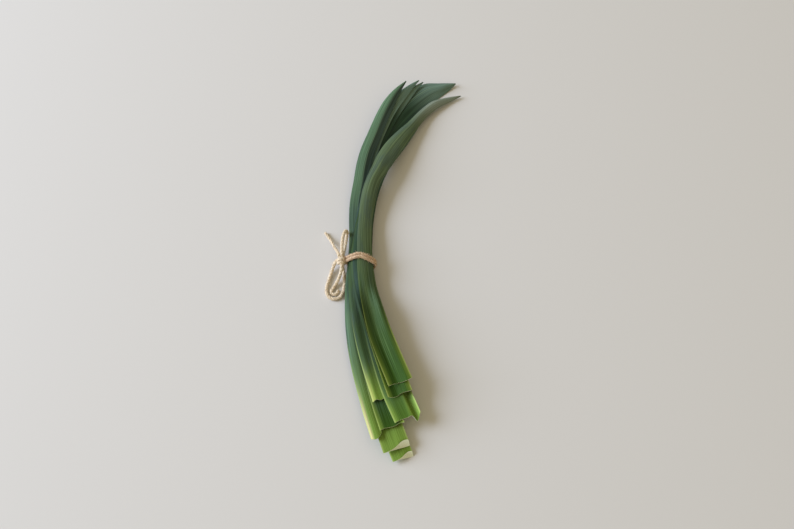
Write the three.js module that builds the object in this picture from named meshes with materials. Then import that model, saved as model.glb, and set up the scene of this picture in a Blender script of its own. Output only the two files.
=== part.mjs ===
// A bunch of fresh pandan leaves lying on a table, tied round the middle with jute twine in a bow.
// Millimetres, +Z up. The cut ends are at -Y and the tips at +Y; the origin is under the bunch, on the table.
import * as THREE from 'three';

// ---- Driving dimensions ----

// The spine that the whole bunch bends along, in plan, from the cut ends to the tips.
const SPINE = [
  [22, -222], [4, -172], [-12, -125], [-26, -80], [-34.5, -38], [-37, 3],
  [-36, 45], [-30, 85], [-16, 125], [8, 162], [38, 191], [78, 214],
];
const TIE_POINT = 5; // the spine point under the twine, where the distance along the spine is 0
const ORIGIN = [-5.8, -10.3]; // moves the bunch so that its box is centred on the origin

const BLADE = 0.75; // thickness of a leaf
const CLEAR = 0.42; // air between two leaves that rest on each other, and between a leaf and the twine
const STATION = 12.5; // step along a leaf
const DRAPE_STEP = 5; // step used when one leaf is laid over the others
const DRAPE_REACH = 15; // how far ahead a stiff leaf starts to rise over what is under it

const TWINE = 3; // diameter of the jute twine
const TWINE_SIDES = 8;
const KNOT_SIZE = [6.2, 7.4, 8.2]; // across, along and up
const TIE_STATION = -2.8; // where the twine crosses the top of the bunch
const TIE_TURNS = { twine_turn_lower: -1.9, twine_turn_upper: 1.9 }; // its two turns, beside that station
const TIE_SLANT = 4.5; // how far back they lean, from the bunch's middle to its right side
const TIE_MIDDLE = 0.7; // the middle of the pressed bunch, beside the spine
const TIE_HALF = 12; // and half its width
const WRAP_START = 152; // a turn starts and ends this many degrees round from the right-hand side

// The spongy heel of a lowest leaf's cut end, and the knife's cut across each leaf.
const HEEL_MIDDLE = 0.75; // the heel is thickest here, in half widths from the leaf's middle
const HEEL_SPREAD = 0.75;
const HEEL_REACH = 45; // and it thins out this far from the end
const CUT_SLOPE = 1.3; // a heel's upper side is cut back by this times its thickness
const CUT_REACH = 26; // an uneven cut moves the stations this far from the end

// Ridges and gutters of a leaf, as heights at six places across it, from its left edge to its right.
const ACROSS = [-1, -0.6, -0.2, 0.2, 0.6, 1];
const ROOT_FULL = -66; // below this station a leaf has the section of its cut end
const CROWN_FULL = 130; // above this one it has the section of its upper half
const TIE_REACH = 28; // this far either side of the tie the leaves stay pressed together

// Each leaf, from the bottom of the pile up. middle and half are [station, mm] pairs: where the leaf's
// middle lies beside the spine, and half its folded width. Its first and last stations are its two ends.
// bow is how far the edges of a full-width leaf stand up, or hang down, where the twine presses it.
// cut is how far the knife cut each place back from the first station, and heel the extra thickness there.
const LEAVES = [
  {
    name: 'leaf_broad_tip',
    middle: [
      [-170, -4], [-60, -1], [0, 0.7], [60, 0], [120, -6], [160, -13], [188, -16.5], [210, -18.5],
      [222, -19], [233, -17], [250, -15.2],
    ],
    half: [
      [-170, 10], [0, 11.5], [60, 11], [120, 11.5], [160, 13.5], [188, 14.5], [210, 13.6], [222, 11.5],
      [233, 7.3], [242, 3.9], [250, 0.5],
    ],
    root: [0.5, 0, 0, 0, 0, 0.5],
    bow: 2.6,
    crown: [0.2, 0.9, 1.8, 1.2, -1.2, -3.2],
    color: 0x33482f,
  },
  {
    name: 'leaf_lowest',
    middle: [
      [-208, -8], [-150, -9], [-60, -3], [0, 0.7], [60, -2], [120, -10], [150, -16], [180, -23],
      [205, -28.5], [220, -31.4],
    ],
    half: [
      [-208, 10], [-100, 11.5], [0, 11.5], [60, 10], [140, 8.5], [180, 7.5], [200, 5.5], [210, 3.2],
      [220, 0.5],
    ],
    root: [0, 0, 0.5, 0.5, 0, -0.5],
    bow: 1.7,
    crown: [-0.8, 0.4, 0.8, 0.2, -0.6, -1.2],
    heel: 3.4,
    color: 0x3f5a3b,
  },
  {
    name: 'leaf_lime_end',
    middle: [
      [-199, -11], [-150, -10], [-60, -3], [0, 0.5], [60, -3], [120, -12], [150, -18.5], [175, -25.5],
      [200, -31], [217, -34.2],
    ],
    half: [
      [-199, 12.8], [-100, 12], [0, 11.5], [60, 9], [120, 8], [140, 7.5], [175, 7], [195, 5.5],
      [208, 3], [217, 0.5],
    ],
    root: [0, -0.3, 0, 0.6, 0.7, 0.3],
    bow: 0.8,
    crown: [-0.8, 0.4, 0.8, 0.2, -0.6, -1.2],
    heel: 4,
    color: 0x44613c,
  },
  {
    name: 'leaf_outer_left',
    middle: [
      [-185, -22], [-149, -20], [-112, -17.6], [-77, -13.8], [-41, -9.5], [0, -4.5], [24, -4], [58, -7],
      [85, -8.6], [104, -11.9], [121, -15], [138, -18], [153, -22], [166, -26.3], [180, -31],
      [194, -35.6], [206, -38.8],
    ],
    half: [
      [-185, 8], [-149, 8.5], [-77, 8], [-41, 7], [0, 7], [58, 7.5], [85, 7.8], [138, 7.8], [153, 7.6],
      [166, 7.3], [180, 6.6], [194, 3.8], [206, 0.5],
    ],
    root: [-2, 0.2, 0.8, 0, -0.8, -1.6],
    bow: -0.2,
    crown: [-1.4, 0.2, 1.1, 1.2, -0.8, -2.4],
    cut: [2, 0, 0, 3, 8, 12],
    color: 0x4c6b44,
  },
  {
    name: 'leaf_inner_left',
    middle: [
      [-179, -8.2], [-147, -7.5], [-80, -3], [0, 1], [60, 3], [103, 5.6], [141, 6.8], [172, 5.6],
      [205, 1],
    ],
    half: [[-179, 11.8], [-100, 11], [0, 11], [60, 8], [103, 7.7], [141, 8.6], [172, 6], [205, 0.5]],
    root: [0.6, -0.3, -0.6, -0.3, 0.3, 0.6],
    bow: -1.2,
    crown: [-0.8, 0.2, 0.5, 0.3, -0.3, -1],
    cut: [0, 1, 0.4, 0, 0.8, 0],
    color: 0x3a5535,
  },
  {
    name: 'leaf_narrow',
    middle: [[-151, -8], [-100, -6], [0, 0.5], [60, 4], [103, 6], [141, 6.8], [172, 5.6], [210, 0]],
    half: [[-151, 9.5], [-80, 10], [0, 10.5], [60, 7.5], [103, 7.9], [141, 8.9], [172, 6.2], [210, 0.5]],
    root: [0, 1.2, 0.2, -0.4, -0.4, 0],
    bow: -2,
    crown: [-1.1, 0.2, 0.7, 0.4, -0.5, -1.6],
    cut: [0, 1.2, 0, 0.6, 0, 0],
    color: 0x567a40,
  },
  {
    name: 'leaf_keeled',
    middle: [
      [-181, 8], [-141, 6], [-80, 6], [0, 2], [60, 5], [103, 6.2], [141, 6.8], [172, 5.6], [213, 0],
    ],
    half: [
      [-181, 12.7], [-141, 13], [-80, 11], [0, 10.5], [60, 7.5], [103, 8.1], [141, 9.2], [172, 6.4],
      [213, 0.5],
    ],
    across: [-1, -0.5, 0, 0.36, 0.58, 1],
    root: [0, 0.4, 0.4, 0.9, -3.2, 1.5],
    bow: -2.7,
    crown: [-1.4, 0.3, 0.9, 0.4, -0.8, -2.2],
    cut: [4, 5, 5, 5, 0, 6],
    color: 0x64893f,
  },
  {
    name: 'leaf_second',
    middle: [[-154, 8.4], [-80, 7.5], [0, 3], [60, 5.5], [103, 6.3], [141, 6.8], [172, 5.6], [214, 0]],
    half: [[-154, 11.7], [-80, 10.5], [0, 9.5], [60, 7], [103, 8.3], [141, 9.5], [172, 6.6], [214, 0.5]],
    root: [0.8, -1.8, -3, -0.6, 2, 0.8],
    bow: -3.3,
    crown: [-1.8, 0.3, 1.2, 0.5, -1, -2.8],
    cut: [1, 0, 0.6, 1.2, 0, 0.5],
    color: 0x4a6e35,
  },
  {
    name: 'leaf_top',
    middle: [
      [-144.5, 11.8], [-94, 9.2], [-52, 7.5], [-10, 5.4], [39, 4.3], [72, 4], [88, 4.4], [104, 6.4],
      [125, 7], [144, 6.7], [163, 6.2], [176, 5.5], [196, 2], [214, -0.4], [227, -0.2], [247, 1.7],
    ],
    half: [
      [-144.5, 11.8], [-94, 11.2], [-52, 9.3], [-10, 7.9], [39, 7], [72, 7.8], [88, 7.6], [104, 8.6],
      [125, 10], [144, 9.9], [163, 8], [176, 6.4], [196, 5.7], [214, 5.6], [227, 4.2], [237, 2.5],
      [247, 0.5],
    ],
    root: [1.2, -2, -3.3, -0.6, 2.3, 0.8],
    bow: -3.8,
    crown: [-1.6, 0.3, 1.1, 0.7, -0.5, -2.0],
    cut: [0, 1.6, 1.8, 0.5, 0, 1.5],
    color: 0x4f7233,
  },
];

// The bow, as [station, mm beside the spine, height] points. Each stretch starts at the knot.
const KNOT = [-4.6, -18.5, 10];
const CORDS = {
  twine_loop_upper: [
    [0.9, -17.9, 11.4], [5.9, -17.8, 13], [13, -17.5, 14.5], [20.1, -17, 14.5], [25.6, -15.8, 13.5],
    [28.6, -14.2, 11.5], [28, -13.3, 9], [22.7, -13.9, 7], [16, -14.8, 6], [9.7, -15.8, 6],
    [2.6, -17, 7.6],
  ],
  twine_loop_lower: [
    [-2.6, -23.2, 7.8], [-5, -25.4, 5.5], [-11.1, -28.1, 2.5], [-18.8, -30.8, 1.6], [-25.9, -33.2, 1.6],
    [-31.1, -33.8, 1.6], [-36.1, -32.3, 1.6], [-39, -27.6, 1.6], [-38.1, -21.9, 1.6], [-33.5, -18.1, 1.6],
    [-27, -16.2, 1.6], [-19.6, -15.7, 1.8], [-13.4, -16.2, 3.2], [-10, -17, 5],
  ],
  twine_tail_long: [
    [0.8, -20.8, 12], [4.6, -21.4, 10.6], [11, -24.5, 7.2], [20, -29, 4], [26.8, -33.2, 2],
    [31, -36.3, 1.6],
  ],
  twine_tail_short: [
    [-9.4, -17.8, 12.4], [-14.6, -18.6, 9.4], [-20.1, -21.2, 5], [-24.5, -24.2, 2.4], [-28.1, -27, 1.6],
    [-30.6, -29, 1.6], [-33.5, -28.7, 1.6], [-34.7, -26, 1.6], [-33.3, -23.4, 1.6], [-30.6, -22.3, 1.6],
  ],
};

// ---- Curves ----

// A smooth curve through [station, value] pairs, as a function of the station.
function through(points) {
  const slope = points.map((p, i) => {
    const before = points[Math.max(i - 1, 0)];
    const after = points[Math.min(i + 1, points.length - 1)];
    return (after[1] - before[1]) / (after[0] - before[0]);
  });
  return (t) => {
    let i = 0;
    while (i < points.length - 2 && t > points[i + 1][0]) i++;
    const [t0, v0] = points[i];
    const [t1, v1] = points[i + 1];
    const run = t1 - t0;
    const s = Math.min(Math.max((t - t0) / run, 0), 1);
    const rise = v1 - v0;
    const a = slope[i] * run - rise;
    const b = -slope[i + 1] * run + rise;
    return v0 + s * rise + s * (1 - s) * ((1 - s) * a + s * b);
  };
}

function smoothstep(low, high, t) {
  const s = Math.min(Math.max((t - low) / (high - low), 0), 1);
  return s * s * (3 - 2 * s);
}

// The spine as a finely sampled line, with the distance of each sample from the tie.
const spine = sampleSpine();

function sampleSpine() {
  const curve = new THREE.CatmullRomCurve3(
    SPINE.map(([x, y]) => new THREE.Vector3(x, y, 0)), false, 'catmullrom', 0.5);
  const steps = 40 * (SPINE.length - 1);
  const points = curve.getPoints(steps);
  const along = [0];
  for (let i = 1; i <= steps; i++) along.push(along[i - 1] + points[i].distanceTo(points[i - 1]));
  const tie = along[40 * TIE_POINT];
  return { points, along: along.map((d) => d - tie) };
}

// A place in the bunch: station t along the spine, a mm to the right of it, z mm up.
function place(t, a, z) {
  const { points, along } = spine;
  let i = 0;
  while (i < along.length - 2 && along[i + 1] < t) i++;
  const s = (t - along[i]) / (along[i + 1] - along[i]);
  const here = points[i].clone().lerp(points[i + 1], s);
  const before = points[Math.max(i - 8, 0)];
  const after = points[Math.min(i + 9, points.length - 1)];
  const heading = after.clone().sub(before).normalize();
  return new THREE.Vector3(here.x + heading.y * a, here.y - heading.x * a, z);
}

// ---- Leaves ----

// The leaf's section at a station: for each place across it, [mm beside the spine, lower side, upper side].
function sectionOf(leaf, t) {
  const middle = leaf.middleAt(t);
  const half = Math.max(leaf.halfAt(t), 0.4);
  const root = 1 - smoothstep(ROOT_FULL, -TIE_REACH, t);
  const crown = smoothstep(TIE_REACH, CROWN_FULL, t);
  const tie = 1 - root - crown;
  const shrink = Math.min(1, half / 6);
  const beside = leaf.across.map((u) => middle + u * half);
  const bow = beside.map((a) => leaf.bow * ((a - TIE_MIDDLE) / TIE_HALF) ** 2);
  const height = bow.map((z, k) => shrink * (root * leaf.root[k] + tie * z + crown * leaf.crown[k]));
  const heel = (leaf.heel ?? 0) * (1 - smoothstep(leaf.first, leaf.first + HEEL_REACH, t));
  return beside.map((a, k) => {
    const low = Math.max(k - 1, 0);
    const high = Math.min(k + 1, beside.length - 1);
    const slope = (height[high] - height[low]) / (beside[high] - beside[low]);
    const thick = BLADE * Math.min(Math.hypot(1, slope), 1.8);
    return [a, height[k] - thick / 2 - heel * heelShare(leaf.across[k]), height[k] + thick / 2];
  });
}

function heelShare(u) {
  return Math.exp(-(((u - HEEL_MIDDLE) / HEEL_SPREAD) ** 2));
}

// The height of one side of a section (1 for the lower, 2 for the upper), or null outside it.
function heightAt(section, a, side) {
  if (a < section[0][0] || a > section.at(-1)[0]) return null;
  let k = 0;
  while (k < section.length - 2 && a > section[k + 1][0]) k++;
  const s = (a - section[k][0]) / (section[k + 1][0] - section[k][0]);
  return section[k][side] + s * (section[k + 1][side] - section[k][side]);
}

function liftAt(leaf, t) {
  const i = Math.min(Math.max((t - leaf.first) / DRAPE_STEP, 0), leaf.lift.length - 1);
  const low = Math.min(Math.floor(i), leaf.lift.length - 2);
  return leaf.lift[low] + (i - low) * (leaf.lift[low + 1] - leaf.lift[low]);
}

// How high a leaf must be at one station to clear the table, the twine under it and the leaves below it.
function restingHeight(leaf, below, t) {
  const section = sectionOf(leaf, t);
  const overTwine = Math.abs(t - TIE_STATION) < TIE_SLANT + 2 * TWINE;
  const floor = overTwine ? TWINE + CLEAR : 0;
  let lift = floor - Math.min(...section.map(([, low]) => low));
  for (const other of below) {
    if (t < other.first - 4 || t > other.last + 4) continue;
    const under = sectionOf(other, t);
    const places = [...section, ...under].map(([a]) => a);
    for (const a of places) {
      const bottom = heightAt(section, a, 1);
      const top = heightAt(under, a, 2);
      if (bottom === null || top === null) continue;
      const steep = Math.abs(heightAt(section, a + 0.3, 1) - bottom) / 0.3;
      const air = CLEAR * Math.min(Math.hypot(1, Number.isFinite(steep) ? steep : 1), 2);
      lift = Math.max(lift, liftAt(other, t) + top + air - bottom);
    }
  }
  return lift;
}

// Lays a leaf on the ones below it: it rises early over anything that stands up, as a stiff leaf does.
function drape(leaf, below) {
  leaf.middleAt = through(leaf.middle);
  leaf.halfAt = through(leaf.half);
  leaf.across ??= ACROSS;
  leaf.cut ??= ACROSS.map(() => 0);
  leaf.first = leaf.middle[0][0];
  leaf.last = leaf.middle.at(-1)[0];
  const count = Math.ceil((leaf.last - leaf.first) / DRAPE_STEP) + 1;
  const needed = Array.from({ length: count }, (_, i) =>
    restingHeight(leaf, below, Math.min(leaf.first + i * DRAPE_STEP, leaf.last)));
  const reach = Math.round(DRAPE_REACH / DRAPE_STEP);
  const windowed = (list, i, fold) => fold(list.slice(Math.max(i - reach, 0), i + reach + 1));
  const previous = below.at(-1);
  const guide = needed.map((_, i) => (previous ? liftAt(previous, leaf.first + i * DRAPE_STEP) : 0));
  const above = needed.map((z, i) => z - guide[i]);
  const raised = above.map((_, i) => windowed(above, i, (near) => Math.max(...near)));
  const mean = (near) => near.reduce((sum, z) => sum + z, 0) / near.length;
  leaf.lift = raised.map((_, i) => guide[i] + windowed(raised, i, mean));
}

// A row of points along one side of a section, each at its own station.
function rowOf(leaf, stations, side) {
  return stations.map((t, k) => {
    const corner = sectionOf(leaf, t)[k];
    return place(t, corner[0], liftAt(leaf, t) + corner[side]);
  });
}

function leafGeometry(leaf) {
  const count = Math.round((leaf.last - leaf.first) / STATION);
  const rings = [];
  for (let i = 0; i <= count; i++) {
    const t = leaf.first + (i / count) * (leaf.last - leaf.first);
    const fade = 1 - smoothstep(leaf.first, leaf.first + CUT_REACH, t);
    const lower = leaf.cut.map((cut) => t + fade * cut);
    const upper = lower.map((station, k) =>
      station + fade * CUT_SLOPE * (leaf.heel ?? 0) * heelShare(leaf.across[k]));
    rings.push([...rowOf(leaf, upper, 2), ...rowOf(leaf, lower, 1).reverse()]);
  }
  return closedStrip(rings);
}

// A closed solid through rings of points, with its two ends capped across pairs of points.
function closedStrip(rings) {
  const size = rings[0].length;
  const positions = rings.flat().flatMap((p) => [p.x, p.y, p.z]);
  const faces = [];
  for (let i = 0; i < rings.length - 1; i++) {
    for (let k = 0; k < size; k++) {
      const a = i * size + k;
      const b = i * size + ((k + 1) % size);
      faces.push(a, b, a + size, b, b + size, a + size);
    }
  }
  const end = (rings.length - 1) * size;
  for (let k = 0; k < size / 2 - 1; k++) {
    const mirror = size - 1 - k;
    faces.push(k, mirror, k + 1, k + 1, mirror, mirror - 1);
    faces.push(end + k, end + k + 1, end + mirror, end + k + 1, end + mirror - 1, end + mirror);
  }
  const geometry = new THREE.BufferGeometry();
  geometry.setAttribute('position', new THREE.Float32BufferAttribute(positions, 3));
  geometry.setIndex(faces);
  geometry.computeVertexNormals();
  return geometry;
}

// ---- Twine ----

function twineSection(radius) {
  const points = [];
  for (let k = 0; k < TWINE_SIDES; k++) {
    const angle = (k / TWINE_SIDES) * 2 * Math.PI;
    points.push(new THREE.Vector2(radius * Math.cos(angle), radius * Math.sin(angle)));
  }
  return new THREE.Shape(points);
}

function twineAlong(points, stepLength = 2.2 * TWINE) {
  const path = new THREE.CatmullRomCurve3(points);
  const steps = Math.round(path.getLength() / stepLength);
  const section = twineSection(TWINE / 2);
  return new THREE.ExtrudeGeometry(section, { steps, extrudePath: path, bevelEnabled: false });
}

// The pressed bunch's outline under the twine, as [mm beside the spine, height] points.
function pressedOutline() {
  const corners = [];
  for (let t = TIE_STATION - TIE_SLANT - TWINE; t <= TIE_STATION + TIE_SLANT + TWINE; t += 3) {
    for (const leaf of LEAVES) {
      for (const [a, low, high] of sectionOf(leaf, t)) {
        corners.push([a, liftAt(leaf, t) + low], [a, liftAt(leaf, t) + high]);
      }
    }
  }
  return corners;
}

// One turn round the bunch: drawn tight over the outline's corners, and open where the knot sits.
function turnGeometry(beside) {
  const outline = pressedOutline();
  const away = TWINE / 2 + CLEAR;
  const points = [];
  for (let degrees = WRAP_START; degrees >= -WRAP_START; degrees -= WRAP_START / 12) {
    const angle = THREE.MathUtils.degToRad(degrees);
    const [across, up] = [Math.cos(angle), Math.sin(angle)];
    const reach = ([a, z]) => a * across + z * up;
    const corner = outline.reduce((best, point) => (reach(point) > reach(best) ? point : best));
    const a = corner[0] + across * away;
    const z = Math.max(corner[1] + up * away, TWINE / 2);
    const lean = (TIE_SLANT * Math.max(a - TIE_MIDDLE, 0)) / TIE_HALF;
    points.push(place(TIE_STATION - lean + beside, a, z));
  }
  return twineAlong(points, 4);
}

function knotGeometry() {
  const geometry = new THREE.IcosahedronGeometry(0.5, 2);
  geometry.scale(...KNOT_SIZE);
  return geometry;
}

// ---- The bunch ----

const bunch = new THREE.Group();
bunch.position.set(ORIGIN[0], ORIGIN[1], 0);

function addMesh(name, geometry, material) {
  const mesh = new THREE.Mesh(geometry, material);
  mesh.name = name;
  bunch.add(mesh);
  return mesh;
}

LEAVES.forEach((leaf, i) => {
  drape(leaf, LEAVES.slice(0, i));
  const material = new THREE.MeshStandardMaterial({ color: leaf.color, roughness: 0.45, metalness: 0 });
  addMesh(leaf.name, leafGeometry(leaf), material);
});

const jute = new THREE.MeshStandardMaterial({ color: 0xc9b493, roughness: 0.95, metalness: 0 });
for (const [name, beside] of Object.entries(TIE_TURNS)) addMesh(name, turnGeometry(beside), jute);
addMesh('twine_knot', knotGeometry(), jute).position.copy(place(...KNOT));
for (const [name, route] of Object.entries(CORDS)) {
  addMesh(name, twineAlong(route.map((point) => place(...point))), jute);
}

export default bunch;
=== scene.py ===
import math

import bpy
import numpy as np
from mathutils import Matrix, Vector


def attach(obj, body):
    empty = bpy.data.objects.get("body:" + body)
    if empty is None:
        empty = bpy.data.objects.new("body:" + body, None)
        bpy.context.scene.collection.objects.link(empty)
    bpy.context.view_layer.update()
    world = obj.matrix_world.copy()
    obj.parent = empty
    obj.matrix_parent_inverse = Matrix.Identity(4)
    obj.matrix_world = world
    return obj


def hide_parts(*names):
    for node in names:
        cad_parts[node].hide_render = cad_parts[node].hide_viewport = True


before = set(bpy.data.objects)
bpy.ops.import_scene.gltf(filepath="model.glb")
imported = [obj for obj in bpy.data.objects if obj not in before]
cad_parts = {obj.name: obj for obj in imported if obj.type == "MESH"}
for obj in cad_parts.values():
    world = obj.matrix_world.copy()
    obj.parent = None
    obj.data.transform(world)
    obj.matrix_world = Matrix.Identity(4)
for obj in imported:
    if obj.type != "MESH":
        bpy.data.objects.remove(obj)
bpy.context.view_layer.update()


# The table: a plain worktop with a matt pale paint, much wider than the bunch. The leaves and the bow
# lie loose on it.
TABLE_SIZE = 6.0
TABLE_COLOUR = (0.66, 0.645, 0.62, 1)
TABLE_ROUGHNESS = 0.85


def new_material(name, roughness):
    material = bpy.data.materials.new(name)
    material.use_nodes = True
    shader = material.node_tree.nodes["Principled BSDF"]
    shader.inputs["Roughness"].default_value = roughness
    return material, material.node_tree, shader


def new_object(name, mesh, *materials):
    piece = bpy.data.objects.new(name, mesh)
    bpy.context.scene.collection.objects.link(piece)
    for material in materials:
        mesh.materials.append(material)
    return piece


table_mesh = bpy.data.meshes.new("table")
reach = TABLE_SIZE / 2
corners = [(-reach, -reach, 0), (reach, -reach, 0), (reach, reach, 0), (-reach, reach, 0)]
table_mesh.from_pydata(corners, [], [(0, 1, 2, 3)])
table_material, _, table_shader = new_material("worktop", TABLE_ROUGHNESS)
table_shader.inputs["Base Color"].default_value = TABLE_COLOUR
table = new_object("table", table_mesh, table_material)


# The camera: a normal lens held above the cut ends, a metre from the bunch, looking down along it
# at 62 degrees.
CAMERA_DISTANCE = 1.0
CAMERA_PITCH = math.radians(62)
CAMERA_TARGET = Vector((-0.0058, -0.0103, 0))
CAMERA_LENS = 45.34

camera_data = bpy.data.cameras.new("camera")
camera_data.lens = CAMERA_LENS
camera = bpy.data.objects.new("camera", camera_data)
bpy.context.scene.collection.objects.link(camera)
backwards = Vector((0, -math.cos(CAMERA_PITCH), math.sin(CAMERA_PITCH)))
camera.location = CAMERA_TARGET + CAMERA_DISTANCE * backwards
camera.rotation_euler = backwards.to_track_quat("Z", "Y").to_euler()
bpy.context.scene.camera = camera


# The light: a wide soft window with a grey sky in it, low on the left, and the warm pale walls of the
# room around, which fill the shadows.
WINDOW_PLACE = Vector((-3.6, 0.5, 1.75))
WINDOW_SIZE = 2.7
WINDOW_POWER = 285
WINDOW_COLOUR = (0.68, 0.76, 0.94)
ROOM_COLOUR = (1.0, 0.875, 0.60, 1)
ROOM_STRENGTH = 0.485

window_data = bpy.data.lights.new("window", "AREA")
window_data.shape = "SQUARE"
window_data.size = WINDOW_SIZE
window_data.energy = WINDOW_POWER
window_data.color = WINDOW_COLOUR
window = bpy.data.objects.new("window", window_data)
bpy.context.scene.collection.objects.link(window)
window.location = WINDOW_PLACE
window.rotation_euler = WINDOW_PLACE.to_track_quat("Z", "Y").to_euler()

room = bpy.data.worlds.new("room")
room.use_nodes = True
room.node_tree.nodes["Background"].inputs["Color"].default_value = ROOM_COLOUR
room.node_tree.nodes["Background"].inputs["Strength"].default_value = ROOM_STRENGTH
bpy.context.scene.world = room
bpy.context.scene.view_settings.view_transform = "Standard"


# The leaves' lie: nine strap leaves stacked and bent along one curve, the spine, whose stations are
# counted in millimetres from the tie towards the tips. Each leaf lies on the ones put down before it.
MM = 0.001
SPINE = [
    (22, -222), (4, -172), (-12, -125), (-26, -80), (-34.5, -38), (-37, 3),
    (-36, 45), (-30, 85), (-16, 125), (8, 162), (38, 191), (78, 214),
]
TIE_POINT = 5
ORIGIN = (-5.8, -10.3)
TIE_REACH = 28
ROOT_FULL = -66
CROWN_FULL = 130
TIE_MIDDLE = 0.7
TIE_HALF = 12
BLADE = 0.75
CLEAR = 0.42
ACROSS = (-1, -0.6, -0.2, 0.2, 0.6, 1)
EVEN = np.linspace(-1, 1, 61)
COLUMNS = np.sign(EVEN) * np.abs(EVEN) ** 0.9
DRAPE_STEP = 4
DRAPE_REACH = 15
TWINE = 3
TIE_STATION = -2.8
TIE_SLANT = 4.5
HEEL_MIDDLE = 0.75
HEEL_SPREAD = 0.75
HEEL_REACH = 45
LEAST_HALF = 0.4
STEEPEST = 2.0
CREASE_WIDTH = 0.9
CREASE_DEPTH = 0.2
CROWN_CREASE = 0.6
RIPPLES = 3
RIPPLE_LENGTH = (38, 75)
RIPPLE_HEIGHT = 0.14
FOLDED_HALF = 6
EDGE_THINNING = 0.5
RIB_THICKENING = 0.2
ROOT_THICKENING = 0.3
ROOT_THICK_FROM, ROOT_THICK_FULL = -120, -190
TIP_THINNING = 0.6
FULL_BLADE_HALF = 5
OVERHANG = 4
FAR_BELOW = -99


def through(points):
    """A smooth curve through (place, value) pairs, as a function of the place."""
    x, y = np.array(points, float).T
    ends = np.arange(len(x))
    before, after = np.maximum(ends - 1, 0), np.minimum(ends + 1, len(x) - 1)
    slope = (y[after] - y[before]) / (x[after] - x[before])

    def value(t):
        t = np.clip(t, x[0], x[-1])
        i = np.clip(np.searchsorted(x, t, side="right") - 1, 0, len(x) - 2)
        run, rise = x[i + 1] - x[i], y[i + 1] - y[i]
        s = (t - x[i]) / run
        a, b = slope[i] * run - rise, rise - slope[i + 1] * run
        return y[i] + s * rise + s * (1 - s) * ((1 - s) * a + s * b)

    return value


def smoothstep(low, high, t):
    s = np.clip((t - low) / (high - low), 0, 1)
    return s * s * (3 - 2 * s)


def smooth_line(points, steps):
    """A finely sampled line through the points."""
    points = np.array(points, float)
    points = np.vstack([2 * points[0] - points[1], points, 2 * points[-1] - points[-2]])
    s = np.linspace(0, 1, steps, endpoint=False)[:, None]
    line = []
    for p0, p1, p2, p3 in zip(points, points[1:], points[2:], points[3:]):
        bend = 2 * p1 + (p2 - p0) * s + (2 * p0 - 5 * p1 + 4 * p2 - p3) * s ** 2
        line.append(0.5 * (bend + (3 * p1 - p0 - 3 * p2 + p3) * s ** 3))
    return np.vstack(line + [points[-2:-1]])


SPINE_STEPS = 40
HEADING_STEPS = 8
spine_line = smooth_line(SPINE, SPINE_STEPS)
spine_along = np.concatenate([[0], np.cumsum(np.hypot(*np.diff(spine_line, axis=0).T))])
spine_along -= spine_along[SPINE_STEPS * TIE_POINT]
rank = np.arange(len(spine_line))
ahead, behind = np.minimum(rank + HEADING_STEPS, rank[-1]), np.maximum(rank - HEADING_STEPS, 0)
spine_heading = spine_line[ahead] - spine_line[behind]
spine_heading /= np.linalg.norm(spine_heading, axis=1)[:, None]


def place(t, a, z):
    """Points in metres: station t along the spine, a mm to the right of it, z mm up."""
    x, y = (np.interp(t, spine_along, spine_line[:, k]) for k in (0, 1))
    hx, hy = (np.interp(t, spine_along, spine_heading[:, k]) for k in (0, 1))
    points = np.stack(np.broadcast_arrays(x + hy * a + ORIGIN[0], y - hx * a + ORIGIN[1], z), -1)
    return points * MM


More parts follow.
